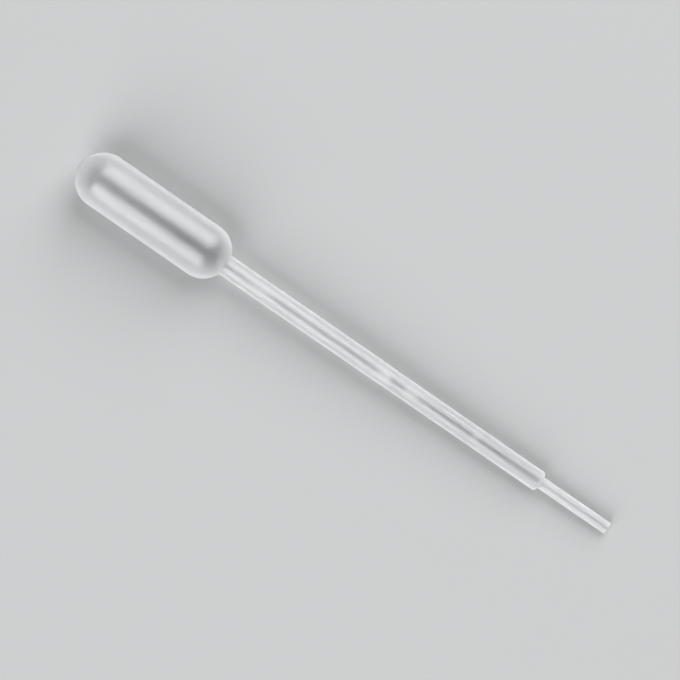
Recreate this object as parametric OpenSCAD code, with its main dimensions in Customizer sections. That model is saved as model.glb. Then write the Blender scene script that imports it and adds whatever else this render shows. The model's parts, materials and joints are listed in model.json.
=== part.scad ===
// Plastic dropper pipette: one blow-moulded piece of soft polyethylene.
// A squeeze bulb runs through a shoulder into a long stem, and a step near the end narrows it
// to a fine open tip. It lies at rest on its bulb and on the end of its stem.

/* [Bulb] */
// Outside diameter of the squeeze bulb, which its round nose and its shoulder share
bulb_d = 13; // [9:0.1:20]
// Length of the bulb's straight side, between its nose and its shoulder
bulb_side_l = 27.6; // [10:0.1:60]
// Thickness of the bulb's wall
bulb_wall = 0.4; // [0.25:0.05:0.8]

/* [Stem] */
// Outside diameter of the stem between the bulb and its narrowing
upper_stem_d = 5.08; // [4:0.02:7]
// Length of that upper stretch, from the bulb's shoulder
upper_stem_l = 42; // [10:0.5:90]
// Length over which the stem narrows
narrowing_l = 5; // [1:0.5:15]
// Outside diameter of the stem below its narrowing
lower_stem_d = 4.9; // [3.8:0.02:6.8]
// Length of the lower stretch, down to the step
lower_stem_l = 40; // [10:0.5:90]
// Thickness of the stem's wall
stem_wall = 0.5; // [0.3:0.05:0.8]
// Radius of the hollow corner where the shoulder runs into the stem
neck_round = 0.5; // [0.2:0.05:1.5]

/* [Tip] */
// Outside diameter of the fine tip
tip_d = 2.88; // [2.2:0.02:3.4]
// Length of the fine tip below the step
tip_l = 18.7; // [5:0.1:40]
// Diameter of the bore through the fine tip
tip_bore_d = 1.9; // [0.8:0.05:2.0]

/* [Mould marks] */
// Width of the line that the mould's joint leaves along both sides of the bulb
seam_w = 0.3; // [0.15:0.05:0.6]
// Height of that line above the bulb's surface
seam_h = 0.08; // [0.05:0.01:0.2]
// Length of the bar across the nose, where the mould pinched the tube shut
pinch_l = 5; // [2:0.5:7]
// Width of that bar
pinch_w = 0.8; // [0.4:0.1:1.5]
// Height of that bar above the nose
pinch_h = 0.2; // [0.05:0.05:0.4]

/* [Hidden] */
$fn = 96;

bulb_r = bulb_d / 2;
upper_r = upper_stem_d / 2;
lower_r = lower_stem_d / 2;
tip_r = tip_d / 2;
tip_wall = tip_r - tip_bore_d / 2;
step_round = lower_r - tip_r;

// How far a cut runs past the face it opens
over = 1;
// How deep a raised mark is rooted in the wall
root = min(bulb_wall, stem_wall) / 2;
// How far the hollow corner's arc dips into the surfaces it joins, so that it crosses them
dip = 0.002;

// Places along the axis, from the nose at 0 to the mouth
side_at = bulb_r;
shoulder_at = side_at + bulb_side_l;
neck_at = shoulder_at + sqrt(pow(bulb_r, 2) - pow(upper_r, 2));
narrowing_at = neck_at + upper_stem_l;
lower_at = narrowing_at + narrowing_l;
step_at = lower_at + lower_stem_l;
tip_at = step_at + step_round;
mouth_at = tip_at + tip_l;

// Lying on the bulb's shoulder, the piece leans until the stem's end or the mouth touches too.
// This is the lean at which a round corner of radius r, centred that far along and off the axis,
// comes level with the underside of the shoulder.
function lean_onto(at, offset, r) =
    asin((bulb_r - r) / norm([at - shoulder_at, offset])) - atan2(offset, at - shoulder_at);
lean = min(lean_onto(step_at, tip_r, step_round), lean_onto(mouth_at, tip_r, 0));

// How far the leaning piece reaches on either side of its nose, which centres it over the origin
nose_end = bulb_r * cos(lean) - (bulb_r + pinch_h);
mouth_end = mouth_at * cos(lean) + tip_r * sin(lean);
// Height of the axis at the nose, which sets the shoulder on the ground
nose_z = bulb_r + shoulder_at * sin(lean);

// Half outlines, with the distance from the axis along X and the place along the axis along Y.
// An inset draws the same form that much further in, which gives the hollow inside.

module bulb_outline(inset) {
    r = bulb_r - inset;
    intersection() {
        translate([0, side_at]) circle(r);
        translate([0, side_at - r]) square(r);
    }
    translate([0, side_at]) square([r, bulb_side_l]);
    intersection() {
        translate([0, shoulder_at]) circle(r);
        translate([0, shoulder_at]) square(r);
    }
}

// The hollow corner between the shoulder's arc and the stem: a triangle with the round cut away.
// The triangle's long side joins the centres of the two arcs, and passes where they meet.
module neck_outline(bulb_inset, stem_inset) {
    round_r = neck_round + stem_inset;
    across = upper_r - stem_inset + round_r;
    along = shoulder_at + sqrt(pow(bulb_r - bulb_inset + round_r, 2) - pow(across, 2));
    difference() {
        polygon([[0, shoulder_at], [across, along], [0, along]]);
        translate([across, along]) circle(round_r + dip);
    }
}

module stem_outline(inset) {
    upper = upper_r - inset;
    lower = lower_r - inset;
    end_at = step_at - inset;
    polygon([[0, shoulder_at], [upper, shoulder_at], [upper, narrowing_at], [lower, lower_at],
        [lower, end_at], [0, end_at]]);
}

// The round of the step and the tip, which runs extra past the mouth
module tip_outline(stem_inset, tip_inset, extra) {
    start_at = step_at - stem_inset;
    r = tip_r - tip_inset;
    round_r = lower_r - stem_inset - r;
    intersection() {
        translate([r, start_at]) circle(round_r);
        translate([0, start_at]) square(r + round_r);
    }
    translate([0, start_at]) square([r, mouth_at + extra - start_at]);
}

module outline(bulb_inset = 0, stem_inset = 0, tip_inset = 0, extra = 0) {
    bulb_outline(bulb_inset);
    neck_outline(bulb_inset, stem_inset);
    stem_outline(stem_inset);
    tip_outline(stem_inset, tip_inset, extra);
}

// The whole wall in one turn: the outer form less the hollow, which runs out at the mouth
module wall() {
    rotate_extrude() difference() {
        outline();
        outline(bulb_wall, stem_wall, tip_wall, over);
    }
}

// A skin over the bulb, rooted in its wall, which ends short of the hollow corner at the neck. The
// raised marks are slices of it, in the level plane where the two halves of the mould met.
module raised_skin(height) {
    rotate_extrude() difference() {
        bulb_outline(-height);
        bulb_outline(root);
        translate([0, shoulder_at]) square([upper_r + neck_round, bulb_r + over]);
    }
}

module seam() {
    reach = bulb_r + over;
    intersection() {
        raised_skin(seam_h);
        translate([-seam_w / 2, -reach, -over]) cube([seam_w, 2 * reach, neck_at + 2 * over]);
    }
}

module pinch_off() {
    intersection() {
        raised_skin(pinch_h);
        translate([-pinch_w / 2, -pinch_l / 2, -over]) cube([pinch_w, pinch_l, bulb_r]);
    }
}

module pipette() {
    color([0.93, 0.94, 0.94])
        translate([-(nose_end + mouth_end) / 2, 0, nose_z]) rotate([0, 90 + lean, 0]) {
            wall();
            seam();
            pinch_off();
        }
}

pipette();
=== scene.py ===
import json
import math

import bpy
from mathutils import Matrix, Vector


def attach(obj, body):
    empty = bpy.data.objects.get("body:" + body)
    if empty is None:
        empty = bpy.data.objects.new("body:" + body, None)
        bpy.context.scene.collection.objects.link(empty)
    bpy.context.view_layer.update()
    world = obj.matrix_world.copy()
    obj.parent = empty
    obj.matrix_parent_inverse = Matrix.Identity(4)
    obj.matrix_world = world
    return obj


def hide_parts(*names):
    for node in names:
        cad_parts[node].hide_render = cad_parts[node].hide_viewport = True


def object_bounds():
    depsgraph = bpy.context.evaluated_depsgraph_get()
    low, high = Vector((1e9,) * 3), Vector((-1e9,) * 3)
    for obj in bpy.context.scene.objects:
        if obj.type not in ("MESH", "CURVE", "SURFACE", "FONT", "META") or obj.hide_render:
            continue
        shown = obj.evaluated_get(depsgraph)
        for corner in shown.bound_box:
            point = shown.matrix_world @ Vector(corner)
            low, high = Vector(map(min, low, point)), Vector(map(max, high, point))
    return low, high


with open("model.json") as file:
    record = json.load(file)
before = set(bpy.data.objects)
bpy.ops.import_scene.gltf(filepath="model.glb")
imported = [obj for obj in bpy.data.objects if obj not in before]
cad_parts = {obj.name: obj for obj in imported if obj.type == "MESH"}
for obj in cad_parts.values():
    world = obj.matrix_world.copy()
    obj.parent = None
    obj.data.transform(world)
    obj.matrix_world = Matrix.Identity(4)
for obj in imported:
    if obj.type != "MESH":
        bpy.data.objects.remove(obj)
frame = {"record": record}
CAD_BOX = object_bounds()

MM = 0.001

# ---------------------------------------------------------------- sizes, in millimetres
# Those of the moulding are the CAD part's own. Places are along its axis, from the nose at 0.
BULB_R = 6.5
BULB_SIDE_L = 27.6
BULB_WALL = 0.4
UPPER_R = 2.54
UPPER_L = 42
NARROWING_L = 5
LOWER_R = 2.45
LOWER_L = 40
STEM_WALL = 0.5
NECK_ROUND = 0.5
TIP_R = 1.44
TIP_L = 18.7
TIP_WALL = 0.49
SEAM_W = 0.3
SEAM_H = 0.08
PINCH_L = 5
PINCH_W = 0.8
PINCH_H = 0.2

SIDE_AT = BULB_R
SHOULDER_AT = SIDE_AT + BULB_SIDE_L
NARROWING_AT = SHOULDER_AT + math.sqrt(BULB_R**2 - UPPER_R**2) + UPPER_L
LOWER_AT = NARROWING_AT + NARROWING_L
STEP_AT = LOWER_AT + LOWER_L
MOUTH_AT = STEP_AT + LOWER_R - TIP_R + TIP_L

# Finer marks that only the finish shows: the mould line on the stem, and the mouth's turned lip
STEM_LINE_W = 0.16
STEM_LINE_H = 0.02
LIP_ROUND = 0.08
# Where on the shoulder the bulb's bold line starts to fade to the stem's, in radii of the bulb
LINE_FADES_AT = 0.8
# How far from its middle a line is flat on top, as a part of its width
LINE_FLAT = 0.25
# Width of the slope along the pinch-off bar, which is twice as wide at the bar's ends
PINCH_EDGE = 0.12
# How far the skin lies inside the true form, as the CAD's flat facets do
SLACK = 0.02
# How much further in the waves of the blown wall go, and how far from each end they grow to that
BULB_WAVES = 0.012
STEM_WAVES = 0.004
NOSE_CALM = 4
MOUTH_CALM = 6
# Each wave: radians to a millimetre along the wall, times round it, and strength
WAVES = ((0.31, 2, 1), (0.17, -3, 1), (0.67, 1, 0.6))
# How far the hollow's first wave runs ahead of the outside's, in radians, and each wave after it
# by as much again
HOLLOW_AHEAD = 1.3

# ---------------------------------------------------------------- how fine the mesh is
# Degrees between the rings on each round. They are closer under the pinch-off bar, from the end of
# the nose at 180 degrees to just past the bar.
BAR_STEP = 1.2
BAR_TO = 156
NOSE_STEP = 4
SHOULDER_STEP = 3
CORNER_STEP = 9
LIP_STEP = 30
# Millimetres between the rings elsewhere
BULB_STEP = 0.6
STEM_STEP = 0.8
TIP_STEP = 0.5
# Degrees from a mould line to each of a ring's fine corners beside it, and between the others
FINE_CORNERS = (0, 0.45, 0.9, 1.3, 1.8)
CORNERS_EVERY = 3

# ---------------------------------------------------------------- the picture, in millimetres
# The camera looks straight down, turned so that the pipette's tip is at the lower right.
VIEW_TURN = math.radians(34.6)
# Width of what it takes in at the pipette
FRAME_W = 155.2
LENS = 150
SENSOR = 36
# How far the pipette's middle is from the middle of that
OFF_RIGHT = 1.1
OFF_DOWN = 1.7


def pipette_axes():
    """From the pipette's own axes, with x along it from the nose and z up, to the frame's."""
    mounts = {mount["name"]: mount for mount in frame["record"]["mounts"]}
    stem = mounts["stem_outside"]
    along = Vector(stem["axis"]).normalized()
    across = Vector((0, 1, 0))
    up = along.cross(across)
    nose = Vector(stem["pos_m"]) - along * (LOWER_AT + LOWER_L / 2) * MM
    turned = Matrix((along, across, up)).transposed().to_4x4()
    return Matrix.Translation(nose) @ turned


AXES = pipette_axes()

# ---------------------------------------------------------------- the moulding


def arc(centre_at, centre_r, radius, start, end, step):
    """Points (place along the axis, distance from it) round an arc, its angles in degrees from the
    axis' own direction."""
    count = max(2, math.ceil(abs(end - start) / step))
    angles = [math.radians(start + (end - start) * i / count) for i in range(count + 1)]
    return [(centre_at + radius * math.cos(t), centre_r + radius * math.sin(t)) for t in angles]


def straight(a, b, step):
    """Points from a to b, without either end."""
    count = max(1, round(math.dist(a, b) / step))
    return [
        (a[0] + (b[0] - a[0]) * i / count, a[1] + (b[1] - a[1]) * i / count)
        for i in range(1, count)
    ]


def outline(bulb_inset, stem_inset, tip_inset, lip):
    """Half the outline from the nose to the mouth, that much inside the outer form. The lip is 1
    for the outside and -1 for the hollow: both turn towards the middle of the wall."""
    bulb_r = BULB_R - bulb_inset
    upper_r = UPPER_R - stem_inset
    lower_r = LOWER_R - stem_inset
    tip_r = TIP_R - tip_inset
    neck_r = NECK_ROUND + stem_inset
    step_r = lower_r - tip_r
    step_at = STEP_AT - stem_inset

    corner_r = upper_r + neck_r
    corner_at = SHOULDER_AT + math.sqrt((bulb_r + neck_r) ** 2 - corner_r**2)
    touch = math.degrees(math.atan2(corner_r, corner_at - SHOULDER_AT))
    lip_r = tip_r - lip * LIP_ROUND

    nose = arc(SIDE_AT, 0, bulb_r, 180, BAR_TO, BAR_STEP)
    nose += arc(SIDE_AT, 0, bulb_r, BAR_TO, 90, NOSE_STEP)[1:]
    shoulder = arc(SHOULDER_AT, 0, bulb_r, 90, touch, SHOULDER_STEP)
    neck = arc(corner_at, corner_r, neck_r, 180 + touch, 270, CORNER_STEP)
    narrowing = [(NARROWING_AT, upper_r), (LOWER_AT, lower_r)]
    step = arc(step_at, tip_r, step_r, 90, 0, CORNER_STEP)
    mouth = arc(MOUTH_AT - LIP_ROUND, lip_r, LIP_ROUND, 90 * lip, 0, LIP_STEP)

    points = nose + straight(nose[-1], shoulder[0], BULB_STEP) + shoulder + neck[1:]
    points += straight(neck[-1], narrowing[0], STEM_STEP) + narrowing[:1]
    points += straight(*narrowing, STEM_STEP) + narrowing[1:]
    points += straight(narrowing[1], step[0], STEM_STEP) + step
    return points + straight(step[-1], mouth[0], TIP_STEP) + mouth


def around():
    """The angles of a ring's corners, in radians from the top, with fine ones at both mould
    lines."""
    wide = [CORNERS_EVERY * i for i in range(1, 90 // CORNERS_EVERY + 1)]
    quarter = [*FINE_CORNERS, *wide]
    half = [90 + d for d in quarter] + [270 - d for d in quarter[1:]]
    both = half + [180 + d for d in half]
    return [math.radians(d) for d in sorted({round(d % 360, 3) for d in both})]


def smooth(start, end, x):
    """From 0 at the start to 1 at the end, smoothly."""
    t = min(1, max(0, (x - start) / (end - start)))
    return t * t * (3 - 2 * t)


def mould_line(at, r, angle):
    """Height of the mould's parting line, which is bold on the bulb and fine on the stem."""
    aside = abs(math.cos(angle)) * r
    on_bulb = smooth(SHOULDER_AT + BULB_R, SHOULDER_AT + LINE_FADES_AT * BULB_R, at)
    width = SEAM_W * on_bulb + STEM_LINE_W * (1 - on_bulb)
    height = SEAM_H * on_bulb + STEM_LINE_H * (1 - on_bulb)
    return height * (1 - smooth(LINE_FLAT, 0.5, aside / width))


def pinch_off(at, y, z):
    """Height of the bar across the nose, where the mould pinched the tube shut."""
    if at > SIDE_AT:
        return 0
    across = smooth(PINCH_L / 2, PINCH_L / 2 - 2 * PINCH_EDGE, abs(y))
    return (PINCH_H - SLACK) * across * smooth(PINCH_W / 2, PINCH_W / 2 - PINCH_EDGE, abs(z))


def unevenness(at, angle, ahead):
    """The slow waves of a blown wall, from 0 to -1."""
    height = 0
    highest = 0
    for i, (pace, turns, strength) in enumerate(WAVES):
        height += strength * math.sin(pace * at + turns * angle + (i + 1) * ahead)
        highest += strength
    return height / (2 * highest) - 0.5


def ring_of_corners(at, r, outside, angles):
    """One ring of the wall's corners, in metres along the pipette's own axes."""
    on_stem = smooth(SHOULDER_AT, SHOULDER_AT + BULB_R, at)
    depth = BULB_WAVES + (STEM_WAVES - BULB_WAVES) * on_stem
    depth *= smooth(0, NOSE_CALM, at) * smooth(MOUTH_AT, MOUTH_AT - MOUTH_CALM, at)
    corners = []
    for angle in angles:
        radius = r + depth * unevenness(at, angle, 0 if outside else HOLLOW_AHEAD)
        if outside:
            radius += mould_line(at, r, angle) - SLACK
        y = math.sin(angle) * radius
        z = math.cos(angle) * radius
        lift = pinch_off(at, y, z) if outside else 0
        corners.append(((at - lift) * MM, y * MM, z * MM))
    return corners


def moulding():
    """The whole wall as one closed mesh, out along the outer surface and back along the hollow."""
    outer = outline(0, 0, 0, 1)
    inner = outline(BULB_WALL, STEM_WALL, TIP_WALL, -1)
    rings = [(at, r, True) for at, r in outer[1:]] + [(at, r, False) for at, r in inner[:0:-1]]
    angles = around()
    points = []
    for at, r, outside in rings:
        points += ring_of_corners(at, r, outside, angles)

    count = len(angles)
    faces = []
    for ring in range(len(rings) - 1):
        here = ring * count
        there = here + count
        for i in range(count):
            j = (i + 1) % count
            faces.append((here + i, there + i, there + j, here + j))

    # a fan closes the nose, and another the hollow's end behind it
    nose_end = SLACK - PINCH_H
    hollow_end = inner[0][0]
    for pole_at, ring, turned in ((nose_end, 0, False), (hollow_end, len(rings) - 1, True)):
        pole = len(points)
        points.append((pole_at * MM, 0, 0))
        for i in range(count):
            a = ring * count + i
            b = ring * count + (i + 1) % count
            faces.append((pole, b, a) if turned else (pole, a, b))

    mesh = bpy.data.meshes.new("pipette_moulding")
    mesh.from_pydata(points, [], faces)
    mesh.transform(AXES)
    mesh.shade_smooth()
    mesh.validate()
    return mesh


# ---------------------------------------------------------------- materials
# Pairs are for the bulb and for the stem, unless they say otherwise.

# The two tones between which the plastic is clouded
TONES = ((0.85, 0.855, 0.86, 1), (0.91, 0.915, 0.92, 1))
# How fine each pattern is, as features to a metre: the lines, along the pipette and across it both
# ways, the orange peel, and the clouds
LINES_SCALE = (8, 900, 900)
PEEL_SCALE = 1400
CLOUDS_SCALE = 90
# Least and most roughness in the lines, and how much more the stem and what is dullest have
ROUGHNESS = (0.28, 0.32)
STEM_ROUGHER = 0.05
DULL_ROUGHER = 0.25
# How clear the wall is head-on, how much milkier it is at its edges, how sharply it gets so, and
# how much milkier what is dullest is
CLEARNESS = (0.96, 0.99)
EDGE_MILKINESS = (0.7, 0.92)
EDGE_POWER = 1.7
DULL_MILKIER = 0.22
# The bumps' depth in millimetres, their strength, and how much of them is lines and not peel
BUMP_DEPTH = 0.1
BUMP_STRENGTH = 0.1
LINES_SHARE = 0.6

# Where the stem's end starts to turn dull, where it is, and how dull, and what the tip adds to it
END_DULL = (STEP_AT - 15, STEP_AT - 7, 0.18)
TIP_DULL = (STEP_AT - 1, STEP_AT, 0.12)
# Duller patches on top of the stem, left unmarked: where each is, half its length, how dull it is
DULL_PATCHES = ((49.6, 2.6, 0.5), (84.3, 1.6, 0.9), (91.7, 1.8, 0.7), (109.6, 0.6, 0.9))
# How far the fading ends of a patch reach to either side of half its length
PATCH_EDGE = 0.5
# How high over the axis a patch begins, and where it is full, as parts of the stem's radius
PATCH_UP = (0.7, 0.95)


class Nodes:
    """The nodes of a material or of the world, with short ways to add and join them."""

    def __init__(self, owner, shader):
        owner.use_nodes = True
        self.tree = owner.node_tree
        self.shader = self.tree.nodes[shader]

    def put(self, socket, value):
        """Puts a value in a socket, or joins another node's output to it."""
        if isinstance(value, bpy.types.NodeSocket):
            self.tree.links.new(value, socket)
        else:
            socket.default_value = value

    def fill(self, node, **inputs):
        """Puts something in each named socket, with _ for each space in its name."""
        for name, value in inputs.items():
            self.put(node.inputs[name.replace("_", " ")], value)

    def add(self, kind, settings=None, **inputs):
        node = self.tree.nodes.new("ShaderNode" + kind)
        for name, value in (settings or {}).items():
            setattr(node, name, value)
        self.fill(node, **inputs)
        return node

    def calc(self, operation, a, b=0.0):
        node = self.add("Math", {"operation": operation})
        self.put(node.inputs[0], a)
        self.put(node.inputs[1], b)
        return node.outputs[0]

    def plus(self, a, b):
        return self.calc("ADD", a, b)

    def minus(self, a, b):
        return self.calc("SUBTRACT", a, b)

    def times(self, a, b):
        return self.calc("MULTIPLY", a, b)

    def spread(self, value, low, high):
        """From low where the value is 0 to high where it is 1."""
        return self.add("MapRange", Value=value, To_Min=low, To_Max=high).outputs["Result"]

    def ramp(self, value, start, end, low=0.0, high=1.0):
        """From low where the value is at the start to high where it is at the end, smoothly."""
        settings = {"interpolation_type": "SMOOTHSTEP"}
        ends = {"From_Min": start, "From_Max": end, "To_Min": low, "To_Max": high}
        return self.add("MapRange", settings, Value=value, **ends).outputs["Result"]

    def noise(self, vector, scale, detail=2.0):
        return self.add("TexNoise", Vector=vector, Scale=scale, Detail=detail).outputs["Fac"]

    def place_on_pipette(self):
        """Places in the pipette's own axes, in metres, with x along it from the nose."""
        place = self.add("TexCoord").outputs["Object"]
        nose, turn, _ = AXES.decompose()
        ends = {"Vector": place, "Location": nose, "Rotation": turn.to_euler()}
        return self.add("Mapping", {"vector_type": "TEXTURE"}, **ends).outputs["Vector"]


def dullness(n, along, up):
    """Up to 1 on the patches on top of the stem, a little on its end and more on the step and the
    tip, and 0 elsewhere."""
    on_top = n.ramp(up, PATCH_UP[0] * UPPER_R * MM, PATCH_UP[1] * UPPER_R * MM)
    ends = [
        n.times(n.ramp(along, start * MM, end * MM), most)
        for start, end, most in (END_DULL, TIP_DULL)
    ]
    dull = n.plus(*ends)
    for middle, half, most in DULL_PATCHES:
        away = n.calc("ABSOLUTE", n.minus(along, middle * MM))
        within = n.ramp(away, (half + PATCH_EDGE) * MM, (half - PATCH_EDGE) * MM)
        dull = n.plus(dull, n.times(n.times(within, most), on_top))
    return dull


def milky_polyethylene():
    """Natural polyethylene: milky and translucent, with a soft waxy gloss, faint lines along it
    from the drawing of the tube, and a fine orange peel."""
    material = bpy.data.materials.new("milky_polyethylene")
    n = Nodes(material, "Principled BSDF")
    place = n.place_on_pipette()
    drawn = n.add("Mapping", Vector=place, Scale=LINES_SCALE).outputs["Vector"]
    lines = n.noise(drawn, 1.0)
    peel = n.noise(place, PEEL_SCALE)
    clouds = n.noise(place, CLOUDS_SCALE, 3.0)
    parts = n.add("SeparateXYZ", Vector=place)
    along = parts.outputs["X"]
    on_stem = n.ramp(along, SHOULDER_AT * MM, (SHOULDER_AT + BULB_R) * MM)
    dull = dullness(n, along, parts.outputs["Z"])

    tone = n.add("Mix", {"data_type": "RGBA"}, Factor=clouds, A=TONES[0], B=TONES[1])

    rough = n.plus(n.spread(lines, *ROUGHNESS), n.times(on_stem, STEM_ROUGHER))
    rough = n.plus(rough, n.times(dull, DULL_ROUGHER))

    # Light that grazes the wall goes further through it, and meets more of its milkiness, and most
    # of all in the thicker wall of the stem
    edge = n.calc("POWER", n.add("LayerWeight", Blend=0.5).outputs["Facing"], EDGE_POWER)
    milky = n.times(edge, n.spread(on_stem, *EDGE_MILKINESS))
    milky = n.plus(milky, n.times(dull, DULL_MILKIER))
    clear = n.minus(n.spread(on_stem, *CLEARNESS), milky)

    height = n.plus(n.times(lines, LINES_SHARE), n.times(peel, 1 - LINES_SHARE))
    bump = n.add("Bump", Strength=BUMP_STRENGTH, Distance=BUMP_DEPTH * MM, Height=height)

    n.fill(
        n.shader,
        Base_Color=tone.outputs["Result"],
        Roughness=rough,
        IOR=1.51,
        Specular_IOR_Level=0.5,
        Transmission_Weight=n.calc("MAXIMUM", clear, 0),
        Normal=bump.outputs["Normal"],
    )
    return material


def pale_floor():
    material = bpy.data.materials.new("pale_floor")
    n = Nodes(material, "Principled BSDF")
    pale = (0.35, 0.3533, 0.3566, 1)
    n.fill(n.shader, Base_Color=pale, Roughness=0.7, Specular_IOR_Level=0.2)
    return material


# ---------------------------------------------------------------- the studio
# Sizes in metres, and angles in degrees up from the floor.
FLOOR_SIZE = 16

SOFTBOX_AWAY = 1.7
SOFTBOX_L = 1.36
SOFTBOX_RADIANCE = 5.8
SOFTBOX_FROM = 17
# Each softbox: its name, its side of the pipette, and the angle that it reaches up to
SOFTBOXES = (("softbox_left", 1, 71), ("softbox_right", -1, 68))

# Brightness of the studio's walls at the floor, and of its ceiling, and where that begins, as the
# height of a direction of length 1
WALL_BRIGHTNESS = 2.0
CEILING_BRIGHTNESS = 0.1
CEILING_FROM = 0.3


def floor():
    half = FLOOR_SIZE / 2
    mesh = bpy.data.meshes.new("floor")
    corners = [(-half, -half, 0), (half, -half, 0), (half, half, 0), (-half, half, 0)]
    mesh.from_pydata(corners, [], [(0, 1, 2, 3)])
    mesh.materials.append(pale_floor())
    plane = bpy.data.objects.new("floor", mesh)
    bpy.context.scene.collection.objects.link(plane)


def softbox(name, side, up_to):
    """A softbox beside the pipette and parallel to it, which faces it from that side."""
    middle = math.radians((SOFTBOX_FROM + up_to) / 2)
    width = 2 * SOFTBOX_AWAY * math.tan(math.radians((up_to - SOFTBOX_FROM) / 2))
    light = bpy.data.lights.new(name, "AREA")
    light.shape = "RECTANGLE"
    light.size = SOFTBOX_L
    light.size_y = width
    light.energy = SOFTBOX_RADIANCE * math.pi * SOFTBOX_L * width
    along = Vector((1, 0, 0))
    away = Vector((0, side * math.cos(middle), math.sin(middle)))
    turned = Matrix((along, away.cross(along), away)).transposed().to_4x4()
    lamp = bpy.data.objects.new(name, light)
    lamp.matrix_world = Matrix.Translation(away * SOFTBOX_AWAY) @ turned
    bpy.context.scene.collection.objects.link(lamp)


def surroundings():
    """A studio with pale walls low down, which darken to its ceiling."""
    world = bpy.data.worlds.new("studio")
    n = Nodes(world, "Background")
    direction = n.add("TexCoord").outputs["Generated"]
    height = n.add("SeparateXYZ", Vector=direction).outputs["Z"]
    strength = n.ramp(height, 0, CEILING_FROM, WALL_BRIGHTNESS, CEILING_BRIGHTNESS)
    n.fill(n.shader, Color=(1, 1, 1, 1), Strength=strength)
    bpy.context.scene.world = world


def camera():
    """Straight above the pipette, turned so that the tip points to the lower right."""
    low, high = CAD_BOX
    middle = (low + high) / 2
    data = bpy.data.cameras.new("camera")
    data.lens = LENS
    data.sensor_width = SENSOR
    right = Vector((math.cos(VIEW_TURN), math.sin(VIEW_TURN), 0))
    down = Vector((math.sin(VIEW_TURN), -math.cos(VIEW_TURN), 0))
    distance = FRAME_W * LENS / SENSOR * MM
    eye = middle - (right * OFF_RIGHT + down * OFF_DOWN) * MM + Vector((0, 0, distance))
    taker = bpy.data.objects.new("camera", data)
    taker.matrix_world = Matrix.Translation(eye) @ Matrix.Rotation(VIEW_TURN, 4, "Z")
    bpy.context.scene.collection.objects.link(taker)
    bpy.context.scene.camera = taker


# ---------------------------------------------------------------- everything together

camera()
piece = bpy.data.objects.new("pipette_moulding", moulding())
piece.data.materials.append(milky_polyethylene())
bpy.context.scene.collection.objects.link(piece)
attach(piece, "root")
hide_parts("pipette")

floor()
for name, side, up_to in SOFTBOXES:
    softbox(name, side, up_to)
surroundings()
bpy.context.scene.view_settings.view_transform = "Standard"
